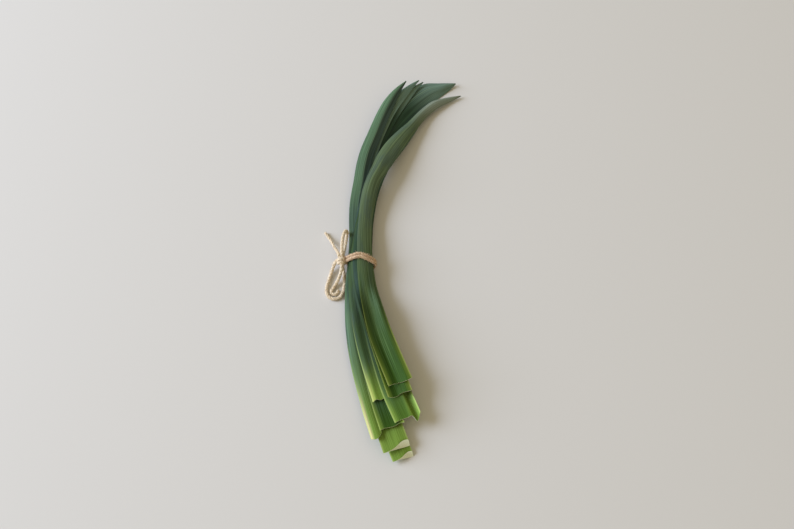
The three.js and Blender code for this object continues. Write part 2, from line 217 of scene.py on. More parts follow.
class Leaf:
    """One strap leaf: how it lies beside the spine, and the gutters and ridges folded into it."""

    def __init__(self, name, middle, half, root, bow, crown, across=ACROSS, cut=(0,) * 6,
                 heel=0.0, rib=0.0, seed=0):
        self.name = name
        self.first, self.last = middle[0][0], middle[-1][0]
        self.middle_at, self.half_at = through(middle), through(half)
        self.root = through(list(zip(across, root)))(COLUMNS)
        self.crown = through(list(zip(ACROSS, crown)))(COLUMNS)
        self.cut = through(list(zip(across, cut)))(COLUMNS)
        self.bow, self.heel, self.rib = bow, heel, rib
        draws = np.random.default_rng(seed)
        self.phase = draws.uniform(0, 2 * math.pi, 2 * RIPPLES)
        self.wave = draws.uniform(*RIPPLE_LENGTH, RIPPLES)

    def section(self, t):
        """Across the leaf at a station: mm beside the spine, and its lower and upper heights."""
        half = max(float(self.half_at(t)), LEAST_HALF)
        root = 1 - smoothstep(ROOT_FULL, -TIE_REACH, t)
        crown = smoothstep(TIE_REACH, CROWN_FULL, t)
        tie = 1 - root - crown
        beside = self.middle_at(t) + COLUMNS * half
        height = root * self.root + crown * self.crown
        height = height + tie * self.bow * ((beside - TIE_MIDDLE) / TIE_HALF) ** 2
        crease = np.exp(-np.abs(COLUMNS - self.rib) * half / CREASE_WIDTH)
        height = height - CREASE_DEPTH * (root - CROWN_CREASE * crown) * crease
        for k in range(RIPPLES):
            side = np.where(COLUMNS > 0, self.phase[k], self.phase[k + RIPPLES])
            ripple = np.sin(2 * math.pi * t / self.wave[k] + side)
            height = height + RIPPLE_HEIGHT * (1 - tie) * np.abs(COLUMNS) ** 2.5 * ripple
        height = height * min(1, half / FOLDED_HALF)
        steep = np.minimum(np.hypot(1, np.gradient(height, beside)), STEEPEST)
        spongy = 1 + ROOT_THICKENING * smoothstep(ROOT_THICK_FROM, ROOT_THICK_FULL, t)
        narrowing = TIP_THINNING + (1 - TIP_THINNING) * min(1, half / FULL_BLADE_HALF)
        thick = BLADE * (1 - EDGE_THINNING * np.abs(COLUMNS) ** 6) * (1 + RIB_THICKENING * crease)
        thick = thick * spongy * narrowing * steep
        heel = self.heel * (1 - smoothstep(self.first, self.first + HEEL_REACH, t))
        heel = heel * np.exp(-((COLUMNS - HEEL_MIDDLE) / HEEL_SPREAD) ** 2)
        return beside, height - thick / 2 - heel, height + thick / 2

    def lift_at(self, t):
        return np.interp(t, self.drape_stations, self.lift)

    def resting_height(self, below, t):
        beside, under_side, _ = self.section(t)
        steep = np.minimum(np.hypot(1, np.gradient(under_side, beside)), STEEPEST)
        floor = TWINE + CLEAR if abs(t - TIE_STATION) < TIE_SLANT + 2 * TWINE else 0
        lift = floor - under_side.min()
        for other in below:
            if not other.first - OVERHANG <= t <= other.last + OVERHANG:
                continue
            a, _, upper_side = other.section(t)
            other_steep = np.minimum(np.hypot(1, np.gradient(upper_side, a)), STEEPEST)
            top = np.interp(beside, a, upper_side, left=FAR_BELOW, right=FAR_BELOW)
            air = CLEAR * np.maximum(steep, np.interp(beside, a, other_steep))
            lift = max(lift, (other.lift_at(t) + top + air - under_side).max())
        return lift

    def drape(self, below):
        """Lays the leaf on the ones below: it rises early over what stands up, as a stiff leaf does."""
        count = math.ceil((self.last - self.first) / DRAPE_STEP) + 1
        self.drape_stations = self.first + DRAPE_STEP * np.arange(count)
        stations = np.minimum(self.drape_stations, self.last)
        needed = np.array([self.resting_height(below, t) for t in stations])
        guide = below[-1].lift_at(self.drape_stations) if below else np.zeros(count)
        window = round(DRAPE_REACH / DRAPE_STEP)
        near = [slice(max(i - window, 0), i + window + 1) for i in range(count)]
        raised = np.array([(needed - guide)[n].max() for n in near])
        self.lift = guide + np.array([raised[n].mean() for n in near])


# The blades: each leaf is one tough, finely ribbed blade, thicker and spongy where it was cut.
# The sheet is swept along its stations, then given its thickness and the ribs that run along it.
STATION_STEP = 2.5
CUT_REACH = 26
CUT_SLOPE = 1.3
UV_HALF_WIDTH = 0.012
CUT_EDGE = 0.0001
WELD = 0.000002
SHARP_ANGLE = math.radians(50)


def row_across(leaf, stations, side):
    """A row of points across the leaf, each column at its own station."""
    sections = {t: leaf.section(t) for t in set(stations)}
    beside = np.array([sections[t][0][k] for k, t in enumerate(stations)])
    height = np.array([sections[t][side][k] for k, t in enumerate(stations)])
    return place(stations, beside, height + leaf.lift_at(stations))


def leaf_sheet(leaf):
    """The leaf's lower surface, as a grid of quads with the way up to its upper surface on it."""
    count = round((leaf.last - leaf.first) / STATION_STEP)
    stations = leaf.first + (leaf.last - leaf.first) * np.linspace(0, 1, count + 1)
    fade = 1 - smoothstep(leaf.first, leaf.first + CUT_REACH, stations)
    bevel = CUT_SLOPE * leaf.heel * np.exp(-((COLUMNS - HEEL_MIDDLE) / HEEL_SPREAD) ** 2)
    lower = [row_across(leaf, t + share * leaf.cut, 1) for t, share in zip(stations, fade)]
    upper = [row_across(leaf, t + share * (leaf.cut + bevel), 2) for t, share in zip(stations, fade)]
    lower, upper = np.vstack(lower), np.vstack(upper)
    width = len(COLUMNS)
    corner = np.arange(count)[:, None] * width + np.arange(width - 1)[None, :]
    quads = np.stack([corner, corner + 1, corner + width + 1, corner + width], -1).reshape(-1, 4)
    mesh = bpy.data.meshes.new(leaf.name)
    mesh.from_pydata(lower.tolist(), [], quads.tolist())
    fields = {
        "across": np.tile(COLUMNS, count + 1),
        "along": np.repeat((stations - leaf.first) * MM, width),
        "to_tip": np.repeat((leaf.last - stations) * MM, width),
    }
    for name, values in fields.items():
        mesh.attributes.new(name, "FLOAT", "POINT").data.foreach_set("value", values)
    rise = mesh.attributes.new("rise", "FLOAT_VECTOR", "POINT")
    rise.data.foreach_set("vector", (upper - lower).ravel())
    uv = mesh.uv_layers.new(name="UVMap")
    loops = np.zeros(len(mesh.loops), int)
    mesh.loops.foreach_get("vertex_index", loops)
    flat = np.stack([fields["across"] * UV_HALF_WIDTH, fields["along"]], -1)[loops]
    uv.data.foreach_set("uv", flat.ravel())
    return mesh


def node(tree, kind, links=None, **settings):
    """Adds a node, sets its properties, and links or fills its inputs by name or by number."""
    made = tree.nodes.new(kind)
    for name, value in settings.items():
        setattr(made, name, value)
    for key, value in (links or {}).items():
        socket = made.inputs[key]
        if isinstance(value, bpy.types.NodeSocket):
            tree.links.new(value, socket)
        else:
            socket.default_value = value
    return made


def maths(tree, operation, *values):
    return node(tree, "ShaderNodeMath", dict(enumerate(values)), operation=operation).outputs[0]


def geometry_tree(name, inputs):
    tree = bpy.data.node_groups.new(name, "GeometryNodeTree")
    tree.interface.new_socket("Geometry", in_out="INPUT", socket_type="NodeSocketGeometry")
    tree.interface.new_socket("Geometry", in_out="OUTPUT", socket_type="NodeSocketGeometry")
    for label, kind in inputs.items():
        tree.interface.new_socket(label, in_out="INPUT", socket_type="NodeSocket" + kind)
    return tree, node(tree, "NodeGroupInput").outputs


def attribute(tree, name, kind="FLOAT"):
    reader = node(tree, "GeometryNodeInputNamedAttribute", {"Name": name}, data_type=kind)
    return reader.outputs["Attribute"]


def blade_tree():
    inputs = {"Rib Count": "Float", "Rib Height": "Float", "Blade": "Material", "Cut": "Material"}
    tree, given = geometry_tree("leaf_blade", inputs)
    sheet = given["Geometry"]
    across = attribute(tree, "across")
    shell = node(
        tree, "GeometryNodeExtrudeMesh", {"Mesh": sheet, "Offset Scale": 0.0, "Individual": False})
    turn = maths(tree, "MULTIPLY", maths(tree, "MULTIPLY", across, given["Rib Count"]), math.pi)
    inner = maths(tree, "SUBTRACT", 1.0, maths(tree, "POWER", maths(tree, "ABSOLUTE", across), 4.0))
    wave = maths(tree, "MULTIPLY", maths(tree, "COSINE", turn), inner)
    ribbing = maths(tree, "MULTIPLY", wave, given["Rib Height"])
    upright = node(tree, "ShaderNodeCombineXYZ", {"Z": ribbing}).outputs[0]
    thickness = attribute(tree, "rise", "FLOAT_VECTOR")
    rise = node(tree, "ShaderNodeVectorMath", {0: thickness, 1: upright}, operation="ADD")
    top = node(
        tree, "GeometryNodeSetPosition",
        {"Geometry": shell.outputs["Mesh"], "Selection": shell.outputs["Top"],
         "Offset": rise.outputs[0]})
    marked = node(
        tree, "GeometryNodeStoreNamedAttribute",
        {"Geometry": top.outputs[0], "Name": "underside", "Value": 0.0},
        data_type="FLOAT", domain="FACE")
    turned = node(tree, "GeometryNodeFlipFaces", {"Mesh": sheet})
    back = node(
        tree, "GeometryNodeStoreNamedAttribute",
        {"Geometry": turned.outputs[0], "Name": "underside", "Value": 1.0},
        data_type="FLOAT", domain="FACE")
    at_cut = maths(tree, "LESS_THAN", attribute(tree, "along"), CUT_EDGE)
    cut_side = maths(tree, "MULTIPLY", at_cut, shell.outputs["Side"])
    cut = node(
        tree, "GeometryNodeStoreNamedAttribute",
        {"Geometry": marked.outputs[0], "Name": "cut_side", "Value": cut_side},
        data_type="FLOAT", domain="FACE")
    joined = node(tree, "GeometryNodeJoinGeometry")
    tree.links.new(back.outputs[0], joined.inputs[0])
    tree.links.new(cut.outputs[0], joined.inputs[0])
    welded = node(
        tree, "GeometryNodeMergeByDistance", {"Geometry": joined.outputs[0], "Distance": WELD})
    smooth = node(tree, "GeometryNodeSetShadeSmooth", {"Geometry": welded.outputs[0]})
    solid = node(tree, "GeometryNodeRealizeInstances", {"Geometry": smooth.outputs[0]})
    green = node(
        tree, "GeometryNodeSetMaterial",
        {"Geometry": solid.outputs[0], "Material": given["Blade"]})
    faced = node(
        tree, "GeometryNodeSetMaterial",
        {"Geometry": green.outputs[0], "Selection": attribute(tree, "cut_side"),
         "Material": given["Cut"]})
    node(tree, "NodeGroupOutput", {0: faced.outputs[0]})
    return tree


def grown(piece, tree, values):
    """Runs a geometry tree on a piece with the given inputs, and keeps the result as its mesh."""
    modifier = piece.modifiers.new("grow", "NODES")
    modifier.node_group = tree
    for item in tree.interface.items_tree:
        if item.in_out == "INPUT" and item.name in values:
            modifier[item.identifier] = values[item.name]
    graph = bpy.context.evaluated_depsgraph_get()
    mesh = bpy.data.meshes.new_from_object(piece.evaluated_get(graph), depsgraph=graph)
    name = piece.data.name
    piece.modifiers.remove(modifier)
    if piece.type == "MESH":
        piece.data = mesh
        made = piece
    else:
        made = new_object(piece.name, mesh)
        bpy.data.objects.remove(piece)
    mesh.name = name
    mesh.set_sharp_from_angle(angle=SHARP_ANGLE)
    # A mesh that starts with no material has an empty first slot, which is taken out.
    faces = np.zeros(len(mesh.polygons), np.int32)
    mesh.polygons.foreach_get("material_index", faces)
    used = [material for material in mesh.materials if material]
    faces -= len(mesh.materials) - len(used)
    mesh.materials.clear()
    for material in used:
        mesh.materials.append(material)
    mesh.polygons.foreach_set("material_index", faces)
    return made


# The leaves' green: dark on the blade, moss to lime where it was cut from the plant, paler and greyer
# at the tip, partly as a painted sheen, with long fine fibres, a pale margin near the cut end and a
# soft waxy gloss. Painted shade darkens the outer leaf's right flank, and painted light brightens the
# keeled leaf's groove at its cut end.
# A blue-grey green for the random blotches, and also the painted shade on the outer leaf's right half.
BLOTCH_AND_SHADE_GREEN = (0.048, 0.074, 0.082, 1)
MARGIN_CREAM = (0.44, 0.56, 0.17, 1)
CUT_SKIN = (0.62, 0.70, 0.42, 1)
CUT_PITH = (0.92, 0.93, 0.79, 1)
CUT_FIBRES = 40.0
DAMP_ROUGHNESS = 0.5
WAXY_GLOSS = 0.04
SMOOTHEST = 0.42
FIBRE_ROUGHNESS = 0.2
FIBRE_BUMP = 0.25
BUMP_DISTANCE = 0.0003
FLUSH_LENGTH = 0.075
MARGIN_LENGTH = 0.10
FIBRES = (20.0, 15.0, 4.0)
FINE_FIBRES = (60.0, 60.0, 2.0)
BLOTCHES = (1.3, 28.0, 3.0)
BLOTCH_SHARE = 0.35
STREAK_DARKEST = 0.66
STREAK_RANGE = 0.68
RIB_PALENESS = 0.06
UNDERSIDE_PALENESS = 0.35


def shader_group(name, inputs, outputs):
    tree = bpy.data.node_groups.new(name, "ShaderNodeTree")
    for label, kind in inputs.items():
        tree.interface.new_socket(label, in_out="INPUT", socket_type="NodeSocket" + kind)
    for label, kind in outputs.items():
        tree.interface.new_socket(label, in_out="OUTPUT", socket_type="NodeSocket" + kind)
    return tree, node(tree, "NodeGroupInput").outputs


def between(tree, value, low, high):
    """0 below low, 1 above high, and a smooth step between."""
    ramp = node(
        tree, "ShaderNodeMapRange", {"Value": value, "From Min": low, "From Max": high},
        interpolation_type="SMOOTHSTEP")
    return ramp.outputs["Result"]


def times(tree, *values):
    """The product of two or more values."""
    product = values[0]
    for value in values[1:]:
        product = maths(tree, "MULTIPLY", product, value)
    return product


def mixed(tree, share, first, second):
    """The first colour with a share of the second one in it, on the mixer's two colour sockets."""
    return node(tree, "ShaderNodeMix", {0: share, 6: first, 7: second}, data_type="RGBA").outputs[2]


def scaled(tree, whole, share):
    """A colour made darker or lighter, or a vector made shorter or longer, by a share."""
    part = node(tree, "ShaderNodeVectorMath", {0: whole, "Scale": share}, operation="SCALE")
    return part.outputs[0]


def fibre_noise(tree, given, across_scale, along_scale, detail):
    """Noise drawn out along the leaf: streaks from its middle to its edge, and per metre along it."""
    beside = times(tree, given["Across"], across_scale)
    along = times(tree, given["Along"], along_scale)
    spot = node(tree, "ShaderNodeCombineXYZ", {"X": beside, "Y": along, "Z": given["Shift"]})
    noise = node(tree, "ShaderNodeTexNoise", {"Vector": spot.outputs[0], "Scale": 1.0, "Detail": detail})
    return noise.outputs[0]


def leaf_green():
    """A leaf's colour from a point's place on it: across from -1 to 1, along it, and from its tip."""
    measures = (
        "Across", "Along", "To Tip", "Underside", "Shift", "Rib", "Root Length", "Tip Length",
        "Margin", "Pale Lit Keel", "Painted Shade Side")
    colours = ("Blade", "Root", "Flush", "Tip")
    inputs = {**dict.fromkeys(measures, "Float"), **dict.fromkeys(colours, "Color")}
    outputs = {"Colour": "Color", "Fibres": "Float", "Height": "Float"}
    tree, given = shader_group("leaf_green", inputs, outputs)
    fibres = fibre_noise(tree, given, *FIBRES)
    height = fibre_noise(tree, given, *FINE_FIBRES)
    blotches = fibre_noise(tree, given, *BLOTCHES)
    edge = maths(tree, "ABSOLUTE", given["Across"])
    uneven = times(tree, maths(tree, "SUBTRACT", fibres, 0.5), given["Root Length"])
    ragged = maths(tree, "ADD", given["Along"], uneven)
    lightness = times(tree, between(tree, fibres, 0.32, 0.68), STREAK_RANGE)
    streak = maths(tree, "ADD", STREAK_DARKEST, lightness)

    blotched = times(tree, between(tree, blotches, 0.42, 0.62), BLOTCH_SHARE)
    body = mixed(tree, blotched, given["Blade"], BLOTCH_AND_SHADE_GREEN)
    # Painted shade: the leaf's right half is mixed towards a blue-grey green, for a flank that faces away
    # from the light.
    painted_shade_side = times(tree, between(tree, given["Across"], 0.0, 0.4), given["Painted Shade Side"])
    # Towards the tip the colour turns paler and greyer: partly the tip's own tone, partly a painted sheen.
    tip_from, tip_full = (times(tree, given["Tip Length"], share) for share in (1.3, 0.5))
    tip_share = between(tree, given["To Tip"], tip_from, tip_full)
    body = mixed(tree, tip_share, body, given["Tip"])
    body = mixed(tree, painted_shade_side, body, BLOTCH_AND_SHADE_GREEN)
    rib = maths(tree, "ABSOLUTE", maths(tree, "SUBTRACT", given["Across"], given["Rib"]))
    rib_share = times(tree, between(tree, rib, 0.08, 0.01), RIB_PALENESS)
    body = mixed(tree, rib_share, body, MARGIN_CREAM)
    # Along the keel the root's pale flush is laid on: partly the rib's own paler tone, partly painted light
    # brightening a groove wall that lies in shade.
    keel = times(tree, between(tree, rib, 0.5, 0.1), given["Pale Lit Keel"])
    flush_and_lit_keel = maths(tree, "MAXIMUM", between(tree, edge, 0.5, 0.95), keel)
    flush_fade = between(tree, ragged, FLUSH_LENGTH, FLUSH_LENGTH / 4)
    root = mixed(tree, times(tree, flush_and_lit_keel, flush_fade), given["Root"], given["Flush"])
    whole = mixed(tree, between(tree, ragged, 0.0, given["Root Length"]), root, body)
    whole = scaled(tree, whole, streak)
    near_root = between(tree, ragged, MARGIN_LENGTH, MARGIN_LENGTH / 4)
    margin = times(tree, between(tree, edge, 0.86, 0.97), near_root, given["Margin"])
    whole = mixed(tree, margin, whole, MARGIN_CREAM)
    paleness = times(tree, given["Underside"], UNDERSIDE_PALENESS)
    whole = scaled(tree, whole, maths(tree, "ADD", 1.0, paleness))
    node(tree, "NodeGroupOutput", {"Colour": whole, "Fibres": fibres, "Height": height})
    return tree


def shader_attribute(tree, name):
    return node(tree, "ShaderNodeAttribute", attribute_name=name).outputs["Fac"]


LEAF_GREEN = leaf_green()


def leaf_material(name, shift, rib, blade, root, flush, tip, root_length,
                  tip_length=0.12, margin=0.6, keel=0.0, painted_shade_side=0.0):
    """One leaf's own green: its parts' colours, their lengths in metres, and its marks' shares."""
    material, tree, shader = new_material(name, DAMP_ROUGHNESS)
    given = {
        "Across": shader_attribute(tree, "across"), "Along": shader_attribute(tree, "along"),
        "To Tip": shader_attribute(tree, "to_tip"), "Underside": shader_attribute(tree, "underside"),
        "Shift": shift, "Rib": rib, "Root Length": root_length, "Tip Length": tip_length,
        "Margin": margin, "Pale Lit Keel": keel, "Painted Shade Side": painted_shade_side,
        "Blade": blade, "Root": root, "Flush": flush, "Tip": tip,
    }
    green = node(tree, "ShaderNodeGroup", given, node_tree=LEAF_GREEN)
    tree.links.new(green.outputs["Colour"], shader.inputs["Base Color"])
    shader.inputs["Specular IOR Level"].default_value = WAXY_GLOSS
    fibre_share = times(tree, green.outputs["Fibres"], FIBRE_ROUGHNESS)
    tree.links.new(maths(tree, "ADD", SMOOTHEST, fibre_share), shader.inputs["Roughness"])
    bump = node(
        tree, "ShaderNodeBump",
        {"Height": green.outputs["Height"], "Strength": FIBRE_BUMP, "Distance": BUMP_DISTANCE})
    tree.links.new(bump.outputs[0], shader.inputs["Normal"])
    return material


def cut_material():
    """The fresh cut: cream pith with a green skin, damp and a little fibrous."""
    material, tree, shader = new_material("leaf_cut", DAMP_ROUGHNESS)
    beside = times(tree, shader_attribute(tree, "across"), CUT_FIBRES)
    spot = node(tree, "ShaderNodeCombineXYZ", {"X": beside}).outputs[0]
    grain = node(tree, "ShaderNodeTexNoise", {"Vector": spot, "Scale": 2.0, "Detail": 2.0}).outputs[0]
    shade = mixed(tree, between(tree, grain, 0.35, 0.65), CUT_SKIN, CUT_PITH)
    tree.links.new(shade, shader.inputs["Base Color"])
    return material


CUT = cut_material()


# The three lowest leaves: the broad one, whose wide tip shows at the far end, and the two whose
# lime green cut ends reach furthest down, spongy and white inside.
BLADE_TREE = blade_tree()
RIB_COUNT = 15
RIB_HEIGHT = 0.00003
DEEP_GREEN = (0.036, 0.070, 0.040, 1)
BLUE_GREEN = (0.044, 0.078, 0.062, 1)
LEMON_GRASS = (0.165, 0.27, 0.044, 1)
LIME = (0.20, 0.32, 0.055, 1)
# The tip greens are paler and greyer than the blades: partly the tips' own tone, partly a painted sheen for
# their whitish gleam.
SLATE_TIP_AND_SHEEN = (0.13, 0.20, 0.155, 1)

laid = []


def lay_leaf(leaf, material):
    """Lays a leaf on those already down, grows its blade, and hides the solid it stands in for."""
    leaf.drape(laid)
    laid.append(leaf)
    piece = new_object("blade_" + leaf.name.removeprefix("leaf_"), leaf_sheet(leaf))
    values = {"Rib Count": RIB_COUNT, "Rib Height": RIB_HEIGHT, "Blade": material, "Cut": CUT}
    piece = grown(piece, BLADE_TREE, values)
    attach(piece, "root")
    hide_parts(leaf.name)


lay_leaf(
    Leaf(
        "leaf_broad_tip",
        [(-170, -4), (-60, -1), (0, 0.7), (60, 0), (120, -6), (160, -13), (188, -16.5), (210, -18.5),
         (222, -19), (233, -17), (250, -15.2)],
        [(-170, 10), (0, 11.5), (60, 11), (120, 11.5), (160, 13.5), (188, 14.5), (210, 13.6), (222, 11.5),
         (233, 7.3), (242, 3.9), (250, 0.5)],
        (0.5, 0, 0, 0, 0, 0.5), 2.6, (0.2, 0.9, 1.8, 1.2, -1.2, -3.2), rib=-0.2, seed=1),
    leaf_material(
        "broad_green", 1.0, -0.2, DEEP_GREEN, LIME, LIME, SLATE_TIP_AND_SHEEN, root_length=0.05,
        tip_length=0.05))
lay_leaf(
    Leaf(
        "leaf_lowest",
        [(-208, -8), (-150, -9), (-60, -3), (0, 0.7), (60, -2), (120, -10), (150, -16), (180, -23),
         (205, -28.5), (220, -31.4)],
        [(-208, 10), (-100, 11.5), (0, 11.5), (60, 10), (140, 8.5), (180, 7.5), (200, 5.5), (210, 3.2),
         (220, 0.5)],
        (0, 0, 0.5, 0.5, 0, -0.5), 1.7, (-0.8, 0.4, 0.8, 0.2, -0.6, -1.2), heel=3.4, seed=2),
    leaf_material(
        "lowest_green", 2.0, 0.0, DEEP_GREEN, LEMON_GRASS, LIME, SLATE_TIP_AND_SHEEN, root_length=0.09,
        tip_length=0.04))
lay_leaf(
    Leaf(
        "leaf_lime_end",
        [(-199, -11), (-150, -10), (-60, -3), (0, 0.5), (60, -3), (120, -12), (150, -18.5), (175, -25.5),
         (200, -31), (217, -34.2)],
        [(-199, 12.8), (-100, 12), (0, 11.5), (60, 9), (120, 8), (140, 7.5), (175, 7), (195, 5.5), (208, 3),
         (217, 0.5)],
        (0, -0.3, 0, 0.6, 0.7, 0.3), 0.8, (-0.8, 0.4, 0.8, 0.2, -0.6, -1.2), heel=4.0, seed=3),
    leaf_material("lime_end_green", 3.0, 0.0, BLUE_GREEN, LEMON_GRASS, LIME, SLATE_TIP_AND_SHEEN, root_length=0.10))


# The left-hand leaves: the outermost one with its pale margin, the dark one beside it, and the
# narrow one that shows only an edge between its neighbours.
MIST_GREEN = (0.088, 0.152, 0.084, 1)
FRESH_GREEN = (0.052, 0.092, 0.038, 1)
MOSS = (0.036, 0.084, 0.011, 1)
PALE_LIME = (0.44, 0.48, 0.13, 1)
PALE_STRAW = (0.62, 0.54, 0.25, 1)

lay_leaf(
    Leaf(
        "leaf_outer_left",
        [(-185, -22), (-149, -20), (-112, -17.6), (-77, -13.8), (-41, -9.5), (0, -4.5), (24, -4), (58, -7),
         (85, -8.6), (104, -11.9), (121, -15), (138, -18), (153, -22), (166, -26.3), (180, -31),
         (194, -35.6), (206, -38.8)],
        [(-185, 8), (-149, 8.5), (-77, 8), (-41, 7), (0, 7), (58, 7.5), (85, 7.8), (138, 7.8), (153, 7.6),
         (166, 7.3), (180, 6.6), (194, 3.8), (206, 0.5)],
        (-2, 0.2, 0.8, 0, -0.8, -1.6), -0.2, (-1.4, 0.2, 1.1, 1.2, -0.8, -2.4),
        cut=(2, 0, 0, 3, 8, 12), rib=0.2, seed=4),
    # The outer leaf's right half gets painted shade, for its flank that faces away from the light.
    leaf_material(
        "outer_green", 4.0, 0.2, MIST_GREEN, LEMON_GRASS, PALE_STRAW, MIST_GREEN, root_length=0.11,
        painted_shade_side=0.75))
lay_leaf(
    Leaf(
        "leaf_inner_left",
        [(-179, -8.2), (-147, -7.5), (-80, -3), (0, 1), (60, 3), (103, 5.6), (141, 6.8), (172, 5.6),
         (205, 1)],
        [(-179, 11.8), (-100, 11), (0, 11), (60, 8), (103, 7.7), (141, 8.6), (172, 6), (205, 0.5)],
        (0.6, -0.3, -0.6, -0.3, 0.3, 0.6), -1.2, (-0.8, 0.2, 0.5, 0.3, -0.3, -1),
        cut=(0, 1, 0.4, 0, 0.8, 0), seed=5),
    leaf_material("inner_green", 5.0, 0.0, BLUE_GREEN, MOSS, LIME, SLATE_TIP_AND_SHEEN, root_length=0.07))
lay_leaf(
    Leaf(
        "leaf_narrow",
        [(-151, -8), (-100, -6), (0, 0.5), (60, 4), (103, 6), (141, 6.8), (172, 5.6), (210, 0)],
        [(-151, 9.5), (-80, 10), (0, 10.5), (60, 7.5), (103, 7.9), (141, 8.9), (172, 6.2), (210, 0.5)],
        (0, 1.2, 0.2, -0.4, -0.4, 0), -2, (-1.1, 0.2, 0.7, 0.4, -0.5, -1.6),
        cut=(0, 1.2, 0, 0.6, 0, 0), seed=6),
    leaf_material("narrow_green", 6.0, 0.0, FRESH_GREEN, LIME, PALE_LIME, SLATE_TIP_AND_SHEEN, root_length=0.05))


# The right-hand leaves: the one with a sharp keel at its cut end, the one under the top leaf, and the
# top leaf, with a gutter at its cut end and a thin tip.
OLIVE_GREEN = (0.094, 0.134, 0.068, 1)
GRASS = (0.075, 0.150, 0.022, 1)
# The top leaf's pale grey tip colour: partly the tip's own tone, partly a painted sheen.
GREY_TIP_AND_SHEEN = (0.20, 0.235, 0.18, 1)
KEELED_ACROSS = (-1, -0.5, 0, 0.36, 0.58, 1)

lay_leaf(
    Leaf(
        "leaf_keeled",
        [(-181, 8), (-141, 6), (-80, 6), (0, 2), (60, 5), (103, 6.2), (141, 6.8), (172, 5.6), (213, 0)],
        [(-181, 12.7), (-141, 13), (-80, 11), (0, 10.5), (60, 7.5), (103, 8.1), (141, 9.2), (172, 6.4),
         (213, 0.5)],
        (0, 0.4, 0.4, 0.9, -3.2, 1.5), -2.7, (-1.4, 0.3, 0.9, 0.4, -0.8, -2.2),
        across=KEELED_ACROSS, cut=(4, 5, 5, 5, 0, 6), rib=0.58, seed=7),
    # keel=1.0 lays the root's lime along the groove: partly its paler rib, partly painted light on a wall
    # in shade.
    leaf_material(
        "keeled_green", 7.0, 0.58, FRESH_GREEN, GRASS, LIME, SLATE_TIP_AND_SHEEN, root_length=0.07, keel=1.0))
lay_leaf(
    Leaf(
        "leaf_second",
        [(-154, 8.4), (-80, 7.5), (0, 3), (60, 5.5), (103, 6.3), (141, 6.8), (172, 5.6), (214, 0)],
        [(-154, 11.7), (-80, 10.5), (0, 9.5), (60, 7), (103, 8.3), (141, 9.5), (172, 6.6), (214, 0.5)],
        (0.8, -1.8, -3, -0.6, 2, 0.8), -3.3, (-1.8, 0.3, 1.2, 0.5, -1, -2.8),
        cut=(1, 0, 0.6, 1.2, 0, 0.5), rib=-0.2, seed=8),
    leaf_material(
        "second_green", 8.0, -0.2, DEEP_GREEN, MOSS, LIME, SLATE_TIP_AND_SHEEN, root_length=0.09, margin=0.9))
lay_leaf(
    Leaf(
        "leaf_top",
        [(-144.5, 11.8), (-94, 9.2), (-52, 7.5), (-10, 5.4), (39, 4.3), (72, 4), (88, 4.4), (104, 6.4),
         (125, 7), (144, 6.7), (163, 6.2), (176, 5.5), (196, 2), (214, -0.4), (227, -0.2), (247, 1.7)],
        [(-144.5, 11.8), (-94, 11.2), (-52, 9.3), (-10, 7.9), (39, 7), (72, 7.8), (88, 7.6), (104, 8.6),
         (125, 10), (144, 9.9), (163, 8), (176, 6.4), (196, 5.7), (214, 5.6), (227, 4.2), (237, 2.5),
         (247, 0.5)],
        (1.2, -2, -3.3, -0.6, 2.3, 0.8), -3.8, (-1.6, 0.3, 1.1, 0.7, -0.5, -2.0),
        cut=(0, 1.6, 1.8, 0.5, 0, 1.5), rib=-0.15, seed=9),
    leaf_material(
        "top_green", 9.0, -0.15, OLIVE_GREEN, MOSS, LIME, GREY_TIP_AND_SHEEN, root_length=0.19,
        tip_length=0.06, margin=0.9))


# The twine: one length of soft jute, three lumpy plies laid together, with loose hairs standing out.
# Each stretch is three plies swept in a helix round the stretch's middle line.
LAY_LENGTH = 0.0105
HAIR_DENSITY = 420000
PLIES = 3
PLY_OFFSET = 0.28
PLY_RADIUS = 0.275
PLY_STEP = 0.00045
PLY_SIDES = 15
PLY_SHIFT = 3.7
LUMP_SCALE = 420.0
THINNEST_LUMP = 0.72
LUMP_SWELL = 0.56
YARNS = 3
YARN_LAY = 0.009
YARN_BULGE = 0.09
HAIR_FOOT, HAIR_FOOT_PULL = (0, 0, -0.0003), (0.0, 0.0, 0.0005)
HAIR_END, HAIR_END_PULL = (0.0015, 0.0002, 0.0009), (0.0006, 0.0, 0.0008)
HAIR_STEPS = 5
HAIR_SIDES = 3
HAIR_RADIUS = 0.00008
HAIR_LEAN = 0.5
FULL_TURN = 6.28
HAIR_SIZES = (0.45, 1.35)
TABLE_CLEAR = 0.0001
JUTE_ROUGHNESS = 0.92
JUTE_FLUFF = 0.25
JUTE_BUMP = 0.5
FLECKS = (900.0, 3.0)
PATCHES = (110.0, 2.0)
WORN_SHARE = 0.4
JUTE_WORN = (0.62, 0.47, 0.28, 1)
JUTE_DARK, JUTE_LIGHT = (0.64, 0.52, 0.37, 1), (0.92, 0.81, 0.62, 1)


